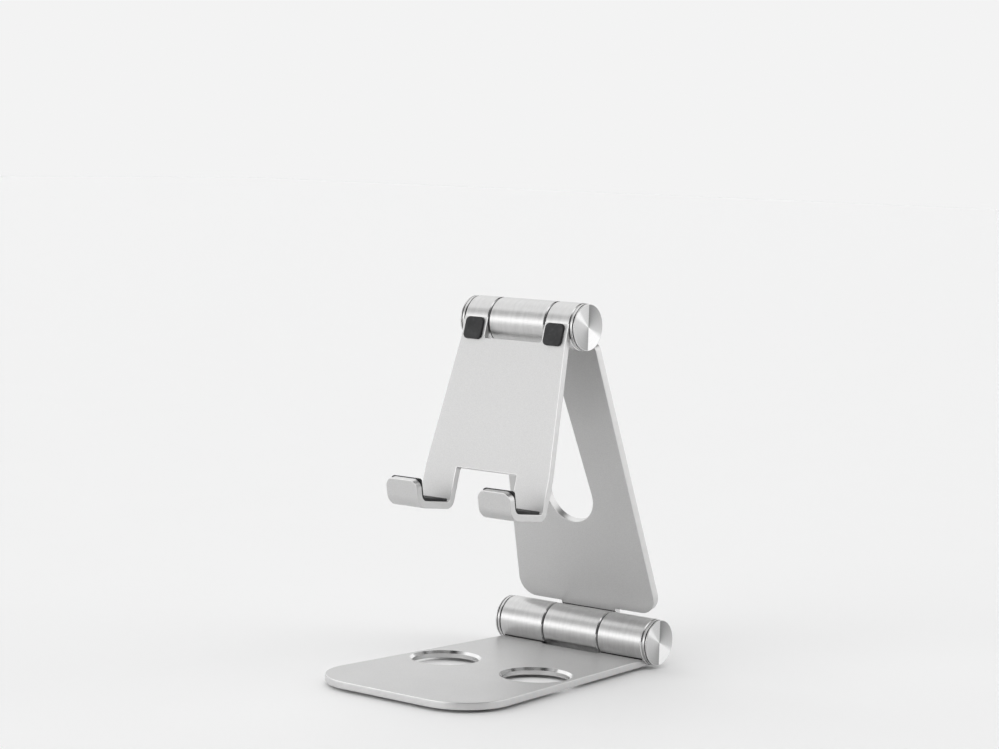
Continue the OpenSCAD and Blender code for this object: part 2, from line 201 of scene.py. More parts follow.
def circle_path(centre, radius):
    angles = [2 * math.pi * k / HOLE_STEPS for k in range(HOLE_STEPS)]
    return [Vector(centre) + radius * Vector((math.cos(a), math.sin(a))) for a in angles]


def opening_path():
    """The cable opening of the upright: two arcs and the straight lines that touch both."""
    swing = math.asin((OPENING_LOW_R - OPENING_TOP_R) / (OPENING_TOP_Z - OPENING_LOW_Z))
    out = []
    arcs = [
        (OPENING_TOP_Z, OPENING_TOP_R, swing, math.pi - swing),
        (OPENING_LOW_Z, OPENING_LOW_R, math.pi - swing, 2 * math.pi + swing),
    ]
    for height, radius, start, end in arcs:
        steps = math.ceil((end - start) / ARC_STEP)
        for k in range(steps + 1):
            a = start + (end - start) * k / steps
            out.append(Vector((radius * math.cos(a), height + radius * math.sin(a))))
    return out


def area_of(path):
    return sum(a.x * b.y - b.x * a.y for a, b in zip(path, path[1:] + path[:1])) / 2


def inset(path, distance):
    """The outline moved to its left by a distance."""
    out = []
    for i, point in enumerate(path):
        arriving = (point - path[i - 1]).normalized()
        leaving = (path[(i + 1) % len(path)] - point).normalized()
        a = Vector((-arriving.y, arriving.x))
        b = Vector((-leaving.y, leaving.x))
        out.append(point + (a + b) / (1 + a.dot(b)) * distance)
    return out


def soft_rim(thickness, edge=EDGE, side=MILLED, corner=MILLED):
    """The side of a sheet from its first face to the other: (inset, depth, material up to here)."""
    ease = edge * 0.3
    return [
        (edge, 0, None),
        (ease, ease, corner),
        (0, edge, corner),
        (0, thickness - edge, side),
        (ease, thickness - ease, corner),
        (edge, thickness, corner),
    ]


# ---- Meshes ----


def finish_mesh(bm, name, materials, sharp=SHARP):
    """Makes a piece of a bmesh, with its materials in the order of their places."""
    bmesh.ops.remove_doubles(bm, verts=bm.verts, dist=WELD)
    bmesh.ops.recalc_face_normals(bm, faces=bm.faces)
    mesh = bpy.data.meshes.new(name)
    bm.to_mesh(mesh)
    bm.free()
    for material in materials:
        mesh.materials.append(material)
    piece = bpy.data.objects.new(name, mesh)
    bpy.context.scene.collection.objects.link(piece)
    shade(piece, sharp)
    return piece


def shade(piece, sharp=SHARP):
    """Smooth shading with sharp edges where the surface turns by more than an angle."""
    piece.data.polygons.foreach_set("use_smooth", [True] * len(piece.data.polygons))
    piece.data.set_sharp_from_angle(angle=sharp)
    piece.data.update()


def lathe(profile, place, segments=RING_SEGMENTS):
    """A closed side view of (along the axis, radius, material) turned about X, in a bmesh."""
    bm = bmesh.new()
    rings = []
    for x, radius, _ in profile:
        if radius == 0:
            rings.append([bm.verts.new(place @ Vector((x, 0, 0)))] * segments)
            continue
        ring = []
        for k in range(segments):
            a = 2 * math.pi * k / segments
            point = Vector((x, radius * math.cos(a), radius * math.sin(a)))
            ring.append(bm.verts.new(place @ point))
        rings.append(ring)
    for i, ring in enumerate(rings):
        last = rings[i - 1]
        for k in range(segments):
            n = (k + 1) % segments
            corners = []
            for vertex in (last[k], last[n], ring[n], ring[k]):
                if vertex not in corners:
                    corners.append(vertex)
            if len(corners) > 2:
                bm.faces.new(corners).material_index = profile[i][2]
    return bm


def plate(loops, place, stations=()):
    """A sheet of outlines, each with its own rim, in a bmesh. The first is the outside.

    place turns (across, along, depth) into a point. Stations are where it is cut across for bending.
    """
    bm = bmesh.new()
    low, high = [], []
    for index, (path, rim) in enumerate(loops):
        if (area_of(path) > 0) != (index == 0):
            path = path[::-1]
        rings = []
        for distance, depth, _ in rim:
            moved = inset(path, distance)
            rings.append([bm.verts.new((p.x, p.y, depth)) for p in moved])
        for j in range(1, len(rim)):
            for k in range(len(path)):
                n = (k + 1) % len(path)
                corners = (rings[j - 1][k], rings[j - 1][n], rings[j][n], rings[j][k])
                bm.faces.new(corners).material_index = rim[j][2]
        low.append(rings[0])
        high.append(rings[-1])
    for side in (low, high):
        vertices = [v for ring in side for v in ring]
        flat = [[Vector((v.co.x, v.co.y, 0)) for v in ring] for ring in side]
        for triangle in tessellate_polygon(flat):
            bm.faces.new([vertices[i] for i in triangle]).material_index = BLASTED
    for station in stations:
        bmesh.ops.bisect_plane(
            bm,
            geom=bm.verts[:] + bm.edges[:] + bm.faces[:],
            plane_co=(0, station, 0),
            plane_no=(0, 1, 0),
            dist=CUT_TOLERANCE,
        )
    for vertex in bm.verts:
        vertex.co = place(*vertex.co)
    return bm


def combine(piece, tools, operation):
    """Joins solids to a piece, or cuts them from it, and removes them."""
    for tool in tools:
        modifier = piece.modifiers.new("solid", "BOOLEAN")
        modifier.operation = operation
        modifier.solver = "EXACT"
        modifier.object = tool
    graph = bpy.context.evaluated_depsgraph_get()
    mesh = bpy.data.meshes.new_from_object(piece.evaluated_get(graph))
    piece.modifiers.clear()
    piece.data = mesh
    for tool in tools:
        bpy.data.objects.remove(tool)
    shade(piece)


def keep_flat_faces_flat(piece):
    """Joins the triangles of each flat face, so that its rounded edges can't tilt its shading."""
    bm = bmesh.new()
    bm.from_mesh(piece.data)
    bmesh.ops.dissolve_limit(
        bm,
        angle_limit=SAME_PLANE,
        verts=bm.verts,
        edges=bm.edges,
        delimit={"MATERIAL", "SHARP"},
    )
    bm.to_mesh(piece.data)
    bm.free()
    modifier = piece.modifiers.new("flat faces", "WEIGHTED_NORMAL")
    modifier.keep_sharp = True
    modifier.weight = 100


# ---- Materials ----


def add_node(tree, kind, **values):
    made = tree.nodes.new(kind)
    for key, value in values.items():
        setattr(made, key, value)
    return made


class Surface:
    """A procedural material whose patterns lie in the piece's own coordinates."""

    def __init__(self, name, colour, roughness, metallic=0.0):
        self.material = bpy.data.materials.new(name)
        self.material.use_nodes = True
        self.tree = self.material.node_tree
        self.shader = self.tree.nodes["Principled BSDF"]
        self.coordinates = self.node("ShaderNodeTexCoord").outputs["Object"]
        self.material.diffuse_color = (*colour, 1)
        self.set("Base Color", (*colour, 1))
        self.set("Roughness", roughness)
        self.set("Metallic", metallic)

    def set(self, socket, value):
        self.shader.inputs[socket].default_value = value

    def node(self, kind, **values):
        return add_node(self.tree, kind, **values)

    def link(self, source, target):
        self.tree.links.new(source, target)

    def noise(self, size_mm, stretch=(1, 1, 1), detail=2.0, offset=(0, 0, 0)):
        """Noise whose grains are about size_mm, stretched along the axes."""
        mapping = self.node("ShaderNodeMapping")
        mapping.inputs["Location"].default_value = offset
        mapping.inputs["Scale"].default_value = [1 / (size_mm * MM * s) for s in stretch]
        self.link(self.coordinates, mapping.inputs["Vector"])
        made = self.node("ShaderNodeTexNoise")
        made.inputs["Scale"].default_value = 1.0
        made.inputs["Detail"].default_value = detail
        self.link(mapping.outputs["Vector"], made.inputs["Vector"])
        return made.outputs["Fac"]

    def polar(self, axis):
        """The turn about a line along X, as a share of a full one, and the distance from it."""
        moved = self.node("ShaderNodeVectorMath", operation="SUBTRACT")
        moved.inputs[1].default_value = axis
        self.link(self.coordinates, moved.inputs[0])
        split = self.node("ShaderNodeSeparateXYZ")
        self.link(moved.outputs["Vector"], split.inputs["Vector"])
        angle = self.node("ShaderNodeMath", operation="ARCTAN2")
        self.link(split.outputs["Z"], angle.inputs[0])
        self.link(split.outputs["Y"], angle.inputs[1])
        circles = self.node("ShaderNodeMath", operation="MULTIPLY")
        circles.inputs[1].default_value = 1 / (2 * math.pi)
        self.link(angle.outputs["Value"], circles.inputs[0])
        turn = self.node("ShaderNodeMath", operation="WRAP")
        turn.inputs[1].default_value = 1.0
        turn.inputs[2].default_value = 0.0
        self.link(circles.outputs["Value"], turn.inputs[0])
        across = self.node("ShaderNodeCombineXYZ")
        self.link(split.outputs["Y"], across.inputs["Y"])
        self.link(split.outputs["Z"], across.inputs["Z"])
        radius = self.node("ShaderNodeVectorMath", operation="LENGTH")
        self.link(across.outputs["Vector"], radius.inputs[0])
        return turn.outputs["Value"], radius.outputs["Value"]

    def between(self, source, low, high, from_low=0.3, from_high=0.7):
        """A source's middle range spread smoothly between two values."""
        made = self.node("ShaderNodeMapRange", interpolation_type="SMOOTHSTEP")
        made.inputs["From Min"].default_value = from_low
        made.inputs["From Max"].default_value = from_high
        made.inputs["To Min"].default_value = low
        made.inputs["To Max"].default_value = high
        self.link(source, made.inputs["Value"])
        return made.outputs["Result"]

    def add(self, a, b):
        made = self.node("ShaderNodeMath", operation="ADD")
        self.link(a, made.inputs[0])
        self.link(b, made.inputs[1])
        return made.outputs["Value"]

    def tint(self, source, low, high):
        """Base colour between two colours, by a source from 0 to 1."""
        made = self.node("ShaderNodeMix", data_type="RGBA")
        sockets = {socket.identifier: socket for socket in [*made.inputs, *made.outputs]}
        sockets["A_Color"].default_value = (*low, 1)
        sockets["B_Color"].default_value = (*high, 1)
        self.link(source, made.inputs["Factor"])
        self.link(sockets["Result_Color"], self.shader.inputs["Base Color"])

    def rough(self, source):
        self.link(source, self.shader.inputs["Roughness"])

    def bump(self, height, depth_mm, strength):
        """Relief of a depth, on top of the relief that is there already."""
        made = self.node("ShaderNodeBump")
        made.inputs["Strength"].default_value = strength
        made.inputs["Distance"].default_value = depth_mm * MM
        self.link(height, made.inputs["Height"])
        last = self.shader.inputs["Normal"]
        if last.links:
            self.link(last.links[0].from_socket, made.inputs["Normal"])
        self.link(made.outputs["Normal"], last)


def grey(value, warm=0.0):
    """A grey, or one that leans a little towards red."""
    return (value * (1 + warm), value, value * (1 - warm))


def scaled(colour, factor):
    return tuple(c * factor for c in colour)


def blasted_metal(name, colour, roughness):
    """Bead-blasted and anodised aluminium: a fine sandy grain with a faint clouding."""
    s = Surface(name, colour, roughness, 0.5)
    grain = s.noise(0.34, detail=4)
    clouds = s.noise(11, detail=3, offset=(3, 7, 1))
    s.tint(s.between(grain, 0, 1), scaled(colour, 0.955), scaled(colour, 1.045))
    s.rough(s.between(clouds, roughness - 0.02, roughness + 0.02))
    s.bump(grain, 0.014, 0.45)
    return s.material


def turned_metal(name, colour, roughness):
    """Aluminium turned about X: fine rings that run round the barrel, over a soft grain."""
    s = Surface(name, colour, roughness, 1.0)
    rings = s.noise(0.24, (1, 7, 7), detail=4)
    bands = s.noise(1.1, (1, 12, 12), detail=2, offset=(4, 0, 6))
    s.tint(s.between(s.add(rings, bands), 0, 1, 0.7, 1.3), scaled(colour, 0.95), scaled(colour, 1.05))
    s.rough(s.between(bands, roughness - 0.02, roughness + 0.02))
    s.bump(rings, 0.006, 0.35)
    s.bump(s.noise(0.3, detail=3, offset=(1, 1, 4)), 0.012, 0.35)
    return s.material


def milled_metal(name, colour, roughness):
    """The cut side of a sheet: faint lines along it and small scuffs."""
    s = Surface(name, colour, roughness, 1.0)
    lines = s.noise(0.25, (6, 6, 1), detail=3)
    scuffs = s.noise(2.2, detail=3, offset=(2, 9, 4))
    s.tint(s.between(scuffs, 0, 1), scaled(colour, 0.98), scaled(colour, 1.02))
    s.rough(s.between(s.add(lines, scuffs), roughness - 0.03, roughness + 0.03, 0.6, 1.4))
    s.bump(lines, 0.004, 0.3)
    return s.material


def polished_metal(name, colour, roughness):
    """A diamond-cut chamfer: bright, with hairline scratches and rubbed spots."""
    s = Surface(name, colour, roughness, 1.0)
    scratches = s.noise(0.12, (1, 8, 1), detail=4)
    rubs = s.noise(4, detail=3, offset=(8, 1, 3))
    s.tint(s.between(rubs, 0, 1), scaled(colour, 0.96), scaled(colour, 1.04))
    s.rough(s.between(s.add(scratches, rubs), roughness - 0.04, roughness + 0.1, 0.7, 1.4))
    s.bump(scratches, 0.003, 0.3)
    return s.material


def rubber(name, colour, roughness):
    """Moulded silicone: a matt skin with fine pores, dust in places and slightly rubbed patches."""
    s = Surface(name, colour, roughness)
    s.set("Specular IOR Level", 0.4)
    pores = s.noise(0.3, detail=3)
    dust = s.noise(1.6, detail=5, offset=(6, 3, 2))
    s.tint(s.between(dust, 0, 1, 0.45, 0.75), colour, scaled(colour, 1.9))
    s.rough(s.between(s.noise(5, detail=2, offset=(1, 5, 5)), roughness - 0.08, roughness + 0.08))
    s.bump(pores, 0.02, 0.4)
    return s.material


ALUMINIUM = grey(0.57, 0.003)
BRIGHT = grey(0.70)
M_BLASTED = blasted_metal("blasted_aluminium", ALUMINIUM, 0.40)
M_TURNED = turned_metal("turned_aluminium", ALUMINIUM, 0.33)
M_MILLED = milled_metal("milled_side", scaled(ALUMINIUM, 1.12), 0.34)
M_POLISHED = polished_metal("polished_chamfer", BRIGHT, 0.12)
M_PAD = rubber("pad_rubber", (0.014, 0.014, 0.015), 0.58)
M_FOOT = rubber("foot_rubber", (0.022, 0.022, 0.023), 0.66)
M_WASHER = rubber("washer_polymer_black", (0.018, 0.018, 0.020), 0.42)

# Painted reflection: the light and dark cones a spun face would throw, painted into its base colour: (turn
# from the back towards the top, tone)
PAINTED_REFLECTION_FAN = [
    (0.0, 0.56),
    (0.235, 0.25),
    (0.247, 0.24),
    (0.253, 0.62),
    (0.355, 0.68),
    (0.385, 0.92),
    (0.41, 0.92),
    (0.44, 0.66),
    (0.747, 0.36),
    (0.753, 0.98),
    (0.91, 0.98),
    (0.955, 0.62),
    (1.0, 0.56),
]


def spun_metal_with_painted_reflection(name, axis):
    """The face of an end cap: fine circles about the axis, and the cones of light they would throw,
    painted into its colour as a painted reflection.
    """
    s = Surface(name, BRIGHT, 0.36, 1.0)
    turn, radius = s.polar(axis)
    painted_cones = s.node("ShaderNodeValToRGB")
    elements = painted_cones.color_ramp.elements
    while len(elements) < len(PAINTED_REFLECTION_FAN):
        elements.new(1.0)
    for element, (position, tone) in zip(elements, PAINTED_REFLECTION_FAN):
        element.position = position
        element.color = (tone, tone, tone, 1)
    s.link(turn, painted_cones.inputs["Fac"])
    circles = s.node("ShaderNodeTexNoise", noise_dimensions="1D")
    circles.inputs["Scale"].default_value = 1 / (0.18 * MM)
    s.link(radius, circles.inputs["W"])
    lines = s.between(circles.outputs["Fac"], 0.94, 1.06)
    lit = s.node("ShaderNodeVectorMath", operation="SCALE")
    s.link(painted_cones.outputs["Color"], lit.inputs["Vector"])
    s.link(lines, lit.inputs["Scale"])
    # The base colour is the painted reflection, with the faint lines of the circles on it
    s.link(lit.outputs["Vector"], s.shader.inputs["Base Color"])
    s.rough(s.between(s.noise(0.5, detail=3, offset=(3, 3, 3)), 0.33, 0.40))
    s.bump(circles.outputs["Fac"], 0.004, 0.3)
    return s.material


def plated_metal(name, colour, roughness, grain_mm, clouds_mm):
    """Small turned or pressed hardware: plating that clouds a little, with handling marks."""
    s = Surface(name, colour, roughness, 1.0)
    clouds = s.noise(clouds_mm, detail=4)
    marks = s.noise(grain_mm, (1, 7, 7), detail=3, offset=(2, 2, 7))
    s.tint(s.between(clouds, 0, 1), scaled(colour, 0.85), scaled(colour, 1.08))
    s.rough(s.between(s.add(clouds, marks), roughness - 0.08, roughness + 0.12, 0.7, 1.3))
    s.bump(marks, 0.008, 0.4)
    return s.material


M_LOWER_FACE = spun_metal_with_painted_reflection("spun_face_lower", LOWER)
M_UPPER_FACE = spun_metal_with_painted_reflection("spun_face_upper", UPPER)
# Near-black painted shade for the grooves and gaps, where the light doesn't reach
M_SHADE_PAINTED = plated_metal("painted_shade_recess", (0.05, 0.05, 0.052), 0.55, 0.3, 1.5)
M_ZINC = plated_metal("zinc_plated_steel", (0.55, 0.56, 0.58), 0.30, 0.2, 2.5)
M_SPRING = plated_metal("spring_steel_blue", (0.22, 0.23, 0.26), 0.34, 0.15, 1.6)
M_BRONZE = plated_metal("sintered_bronze", (0.50, 0.33, 0.15), 0.42, 0.12, 1.2)
SHEET_METALS = [M_BLASTED, M_POLISHED, M_MILLED, M_TURNED, M_SHADE_PAINTED]
CAP_METALS = [M_POLISHED, M_TURNED, M_SHADE_PAINTED]
CAP_BRIGHT, CAP_SIDE, CAP_SHADOW, SPUN = range(4)

# The pieces inside the barrels keep their CAD meshes
HARDWARE_METALS = {
    "pivot_screw": M_ZINC,
    "lock_nut": M_ZINC,
    "thrust_washer": M_ZINC,
    "disc_springs": M_SPRING,
    "bushes": M_BRONZE,
}
for node, piece in frame["nodes"].items():
    for ending, material in HARDWARE_METALS.items():
        if node.endswith(ending):
            piece.data.materials.clear()
            piece.data.materials.append(material)


# ---- Base ----


def knuckle(start, end, place):
    """A turned barrel with a small bright chamfer at each end."""
    end_r = BARREL_R - KNUCKLE_LEAD
    profile = [
        (start, 0, BLASTED),
        (start, end_r, BLASTED),
        (start + KNUCKLE_LEAD, BARREL_R, POLISHED),
        (end - KNUCKLE_LEAD, BARREL_R, TURNED),
        (end, end_r, POLISHED),
        (end, 0, BLASTED),
    ]
    return finish_mesh(lathe(profile, place), "knuckle", SHEET_METALS)


def bore_tool(steps, place):
    """What is drilled out along an axis: (along, radius) steps from one end to the other."""
    profile = [(steps[0][0], 0, MILLED)]
    profile += [(x, radius, MILLED) for x, radius in steps]
    profile.append((steps[-1][0], 0, MILLED))
    return finish_mesh(lathe(profile, place), "bore", SHEET_METALS)


def relief_tool(start, end, y, z, place):
    """The groove along a barrel where its sheet runs into it, whose faces take the near-black painted
    shade.
    """
    profile = [(start, 0, SHADE_PAINTED), (start, RELIEF_R, SHADE_PAINTED), (end, RELIEF_R, SHADE_PAINTED), (end, 0, SHADE_PAINTED)]
    line = place @ Matrix.Translation((0, y, z))
    return finish_mesh(lathe(profile, line, RELIEF_SEGMENTS), "relief", SHEET_METALS)


def outer_bore_tool(half, web, place):
    """The pin bore and the counterbores of a sheet's two outer knuckles."""
    deep = OUTER_X + web
    steps = [
        (-half - 1, COUNTERBORE_R),
        (-deep, COUNTERBORE_R),
        (-deep, PIN_BORE_R),
        (deep, PIN_BORE_R),
        (deep, COUNTERBORE_R),
        (half + 1, COUNTERBORE_R),
    ]
    return bore_tool(steps, place)


def centre_bore_tool(place):
    """The bore of a centre knuckle, with a seat for a bush at each end."""
    seat = KNUCKLE_HALF - BUSH_W
    steps = [
        (-KNUCKLE_HALF - 1, BUSH_SEAT_R),
        (-seat, BUSH_SEAT_R),
        (-seat, CENTRE_BORE_R),
        (seat, CENTRE_BORE_R),
        (seat, BUSH_SEAT_R),
        (KNUCKLE_HALF + 1, BUSH_SEAT_R),
    ]
    return bore_tool(steps, place)


def on_base(across, along, depth):
    """Along runs to the back from the lower hinge axis, and depth is above the underside."""
    return AT_LOWER @ Vector((across, along, BASE_DROP + depth))


def make_base():
    corners = [
        (BASE_FRONT_HALF, BASE_FRONT_Y, BASE_CORNER_R),
        (BASE_REAR_HALF, -SHEET_IN, 0),
        (OUTER_X, -SHEET_IN, 0),
        (OUTER_X, -NOTCH_REACH, NOTCH_R),
    ]
    outline = round_path(corners + mirrored(corners))
    hole_rim = [
        (EDGE, 0, None),
        (0, EDGE, POLISHED),
        (0, BASE_T - HOOK_HOLE_CHAMFER, MILLED),
        (HOOK_HOLE_CHAMFER, BASE_T, POLISHED),
    ]
    loops = [(outline, soft_rim(BASE_T))]
    for side in (-1, 1):
        loops.append((circle_path((side * HOOK_HOLE_X, HOOK_HOLE_Y), HOOK_HOLE_R), hole_rim))
    base = finish_mesh(plate(loops, on_base), "base_body", SHEET_METALS)
    knuckles = [
        knuckle(OUTER_X, LOWER_HALF, AT_LOWER),
        knuckle(-LOWER_HALF, -OUTER_X, AT_LOWER),
    ]
    combine(base, knuckles, "UNION")
    relief_z = BASE_T - BARREL_R
    relief_y = -math.sqrt(BARREL_R**2 - relief_z**2)
    drills = [
        outer_bore_tool(LOWER_HALF, LOWER_WEB, AT_LOWER),
        relief_tool(OUTER_X - 1, BASE_REAR_HALF, relief_y, relief_z, AT_LOWER),
        relief_tool(-BASE_REAR_HALF, 1 - OUTER_X, relief_y, relief_z, AT_LOWER),
    ]
    combine(base, drills, "DIFFERENCE")
    keep_flat_faces_flat(base)
    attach(base, "base")
    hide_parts("base_plate")


# ---- Upright ----


def on_upright(across, along, depth):
    """Along runs up from the lower hinge axis, and depth is behind the front face."""
    return IN_UPRIGHT @ Vector((across, BARREL_R - UPRIGHT_T + depth, along))


def make_upright():
    corners = [
        (KNUCKLE_HALF, SHEET_IN, 0),
        (KNUCKLE_HALF, UPRIGHT_LOW_Z, NECK_R),
        (UPRIGHT_LOW_HALF, UPRIGHT_LOW_Z, UPRIGHT_LOW_R),
        (UPRIGHT_TOP_HALF, UPRIGHT_TOP_Z, UPRIGHT_TOP_R),
        (KNUCKLE_HALF, UPRIGHT_TOP_Z, NECK_R),
        (KNUCKLE_HALF, AXES_APART - SHEET_IN, 0),
    ]
    outline = round_path(corners + mirrored(corners))
    loops = [(outline, soft_rim(UPRIGHT_T)), (opening_path(), soft_rim(UPRIGHT_T))]
    upright = finish_mesh(plate(loops, on_upright), "upright_body", SHEET_METALS)
    places = [IN_UPRIGHT, IN_UPRIGHT_TOP]
    combine(upright, [knuckle(-KNUCKLE_HALF, KNUCKLE_HALF, p) for p in places], "UNION")
    relief_y = BARREL_R - UPRIGHT_T
    relief_z = math.sqrt(BARREL_R**2 - relief_y**2)
    ends = (-KNUCKLE_HALF - 1, KNUCKLE_HALF + 1)
    drills = [centre_bore_tool(p) for p in places]
    drills.append(relief_tool(*ends, relief_y, relief_z, IN_UPRIGHT))
    drills.append(relief_tool(*ends, relief_y, -relief_z, IN_UPRIGHT_TOP))
    combine(upright, drills, "DIFFERENCE")
    keep_flat_faces_flat(upright)
    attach(upright, "upright")
    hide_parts("upright_plate")


# ---- Cradle: a sheet that is bent twice, into the shelf and the lip of each hook ----

SHELF_INNER_R = SHELF_BEND_R - CRADLE_T
LIP_INNER_R = LIP_BEND_R - CRADLE_T
BEND_START = CRADLE_REACH - SHELF_BEND_R * math.tan(SHELF_TURN / 2)
SHELF_START = BEND_START + SHELF_TURN * (SHELF_INNER_R + CRADLE_T / 2)
SHELF_END = SHELF_START + SHELF_RUN
LIP_START = SHELF_END + (LIP_TURN - SHELF_TURN) * (LIP_INNER_R + CRADLE_T / 2)
LIP_END = LIP_START + LIP_RUN
NOTCH_TOP = CRADLE_REACH - CABLE_NOTCH_H
NOTCH_HALF = CRADLE_LOW_HALF - HOOK_W


def run_at(turn):
    """The way the sheet runs, as (back, up), after it has turned by an angle."""
    return Vector((-math.sin(turn), -math.cos(turn)))


def out_at(turn):
    """The way out of a bend's centre, as (back, up), after the sheet has turned by an angle."""
    return Vector((math.cos(turn), -math.sin(turn)))


SHELF_CENTRE = Vector((-BARREL_R - SHELF_INNER_R, -BEND_START))
LIP_CENTRE = (
    SHELF_CENTRE
    + out_at(SHELF_TURN) * (SHELF_INNER_R - LIP_INNER_R)
    + run_at(SHELF_TURN) * SHELF_RUN
)


def share(value, start, end):
    """How far a value is from a start to an end, from 0 to 1."""
    return min(1.0, max(0.0, (value - start) / (end - start)))


def on_cradle(across, along, depth):
    """Bends the flat sheet: along runs down its front face, and depth is behind that face."""
    if along <= BEND_START:
        side = Vector((-BARREL_R + depth, -along))
    elif along <= SHELF_END:
        turn = SHELF_TURN * share(along, BEND_START, SHELF_START)
        side = SHELF_CENTRE + out_at(turn) * (SHELF_INNER_R + depth)
        side += run_at(turn) * max(0.0, along - SHELF_START)
    else:
        turn = SHELF_TURN + (LIP_TURN - SHELF_TURN) * share(along, SHELF_END, LIP_START)
        side = LIP_CENTRE + out_at(turn) * (LIP_INNER_R + depth)
        side += run_at(turn) * max(0.0, along - LIP_START)
    return IN_CRADLE @ Vector((across, side.x, side.y))


def bend_stations(ranges):
    """Where the flat sheet is cut across, so that each bend comes out round."""
    return [start + (end - start) * k / BEND_STEPS for start, end in ranges for k in range(BEND_STEPS + 1)]


def make_cradle():
    corners = [
        (OUTER_X, NOTCH_REACH, NOTCH_R),
        (OUTER_X, SHEET_IN, 0),
        (UPPER_HALF, SHEET_IN, 0),
        (CRADLE_TOP_HALF, NOTCH_REACH, 0),
        (CRADLE_LOW_HALF, NOTCH_TOP, 0),
        (CRADLE_LOW_HALF, LIP_END, LIP_CORNER_R),
        (NOTCH_HALF, LIP_END, LIP_CORNER_R),
        (NOTCH_HALF, NOTCH_TOP, CABLE_NOTCH_R),
    ]
    outline = round_path(corners + mirrored(corners))
    stations = bend_stations([(BEND_START, SHELF_START), (SHELF_END, LIP_START)])
    sheet = plate([(outline, soft_rim(CRADLE_T))], on_cradle, stations)
    cradle = finish_mesh(sheet, "cradle_body", SHEET_METALS)
    knuckles = [
        knuckle(OUTER_X, UPPER_HALF, IN_CRADLE),
        knuckle(-UPPER_HALF, -OUTER_X, IN_CRADLE),
    ]
    combine(cradle, knuckles, "UNION")
    combine(cradle, [outer_bore_tool(UPPER_HALF, UPPER_WEB, IN_CRADLE)], "DIFFERENCE")
    keep_flat_faces_flat(cradle)
    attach(cradle, "cradle")
    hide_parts("cradle_plate")


def make_liner(side, name):
    """The silicone strip inside a hook, with rounded edges."""
    middle = side * (CRADLE_LOW_HALF - HOOK_W / 2)
    half = HOOK_W / 2 - LINER_INSET
    corners = [
        (middle - half, SHELF_START, LINER_REAR_R),
        (middle + half, SHELF_START, LINER_REAR_R),
        (middle + half, LIP_END, LINER_TOP_R),
        (middle - half, LIP_END, LINER_TOP_R),
    ]
    rim = soft_rim(LINER_T, LINER_EDGE, 0, 0)
    stations = bend_stations([(SHELF_END, LIP_START)])

    def place(across, along, depth):
        return on_cradle(across, along, depth - LINER_T)

    sheet = plate([(round_path(corners), rim)], place, stations)
    liner = finish_mesh(sheet, name, [M_PAD])
    keep_flat_faces_flat(liner)
    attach(liner, "cradle")
    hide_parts(name.replace("liner", "hook_liner"))


def make_ear_pad(side, name):
    """The square pad on an outer knuckle's flat."""
    half = EAR_PAD / 2
    left, right = side * EAR_PAD_X - half, side * EAR_PAD_X + half
    low, high = EAR_PAD_TOP - EAR_PAD, EAR_PAD_TOP
    square = [(left, low), (right, low), (right, high), (left, high)]
    outline = round_path([(*corner, EAR_PAD_R) for corner in square])
    rounded_rim = [(0, 0, None), (0, 0.62, 0), (0.12, 0.88, 0), (0.4, 1.0, 0)]

    def place(across, along, depth):
        return IN_CRADLE @ Vector((across, -BARREL_R - depth, along))

    pad = finish_mesh(plate([(outline, rounded_rim)], place), name, [M_PAD])
    keep_flat_faces_flat(pad)
    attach(pad, "cradle")
    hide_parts(name)


# ---- Turned parts ----

# An end cap's section: (distance outside the barrel, radius, material up to there)
SPIGOT = [(-1.2, 0, CAP_SIDE), (-1.2, 5.59, CAP_SIDE), (0, 5.59, CAP_SIDE)]
# The shadow gap and the groove take the near-black painted shade
SHADOW_GAP = [(0, 7.4, CAP_SHADOW), (0.3, 7.4, CAP_SHADOW)]
RING = [(0.3, 7.8, CAP_BRIGHT), (0.4, 7.9, CAP_BRIGHT), (1.15, 7.9, CAP_SIDE), (1.25, 7.8, CAP_BRIGHT)]
GROOVE = [(1.27, 7.45, CAP_SHADOW), (1.55, 7.45, CAP_SHADOW), (1.57, 7.75, CAP_SHADOW)]
DISC = [(1.65, 7.85, CAP_BRIGHT), (1.98, 7.85, CAP_SIDE), (2.07, 7.8, CAP_BRIGHT)]
FACE = [(2.1, 7.65, CAP_BRIGHT), (2.1, 0, SPUN)]
CAP_SECTION = SPIGOT + SHADOW_GAP + RING + GROOVE + DISC + FACE


def make_cap(side, half, place, face, body, name):
    """An end cap: a spigot, a shadow gap, a ring, a groove and a disc with a spun face."""
    profile = [(side * (half + x), radius, material) for x, radius, material in CAP_SECTION]
    cap = finish_mesh(lathe(profile, place), name, CAP_METALS + [face], CAP_SHARP)
    keep_flat_faces_flat(cap)
    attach(cap, body)
    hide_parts(name.replace("cap", "end_cap"))


def make_washer(side, place, body, name):
    """A thin black washer between two knuckles, with broken edges."""
    section = [
        (WASHER_X, WASHER_BORE_R),
        (WASHER_X, WASHER_R - WASHER_EASE),
        (WASHER_X + WASHER_EASE, WASHER_R),
        (OUTER_X - WASHER_EASE, WASHER_R),
        (OUTER_X, WASHER_R - WASHER_EASE),
        (OUTER_X, WASHER_BORE_R),
    ]
    profile = [(side * x, radius, 0) for x, radius in section]
    washer = finish_mesh(lathe(profile, place), name, [M_WASHER])
    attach(washer, body)
    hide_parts(name.replace("washer", "friction_washer"))


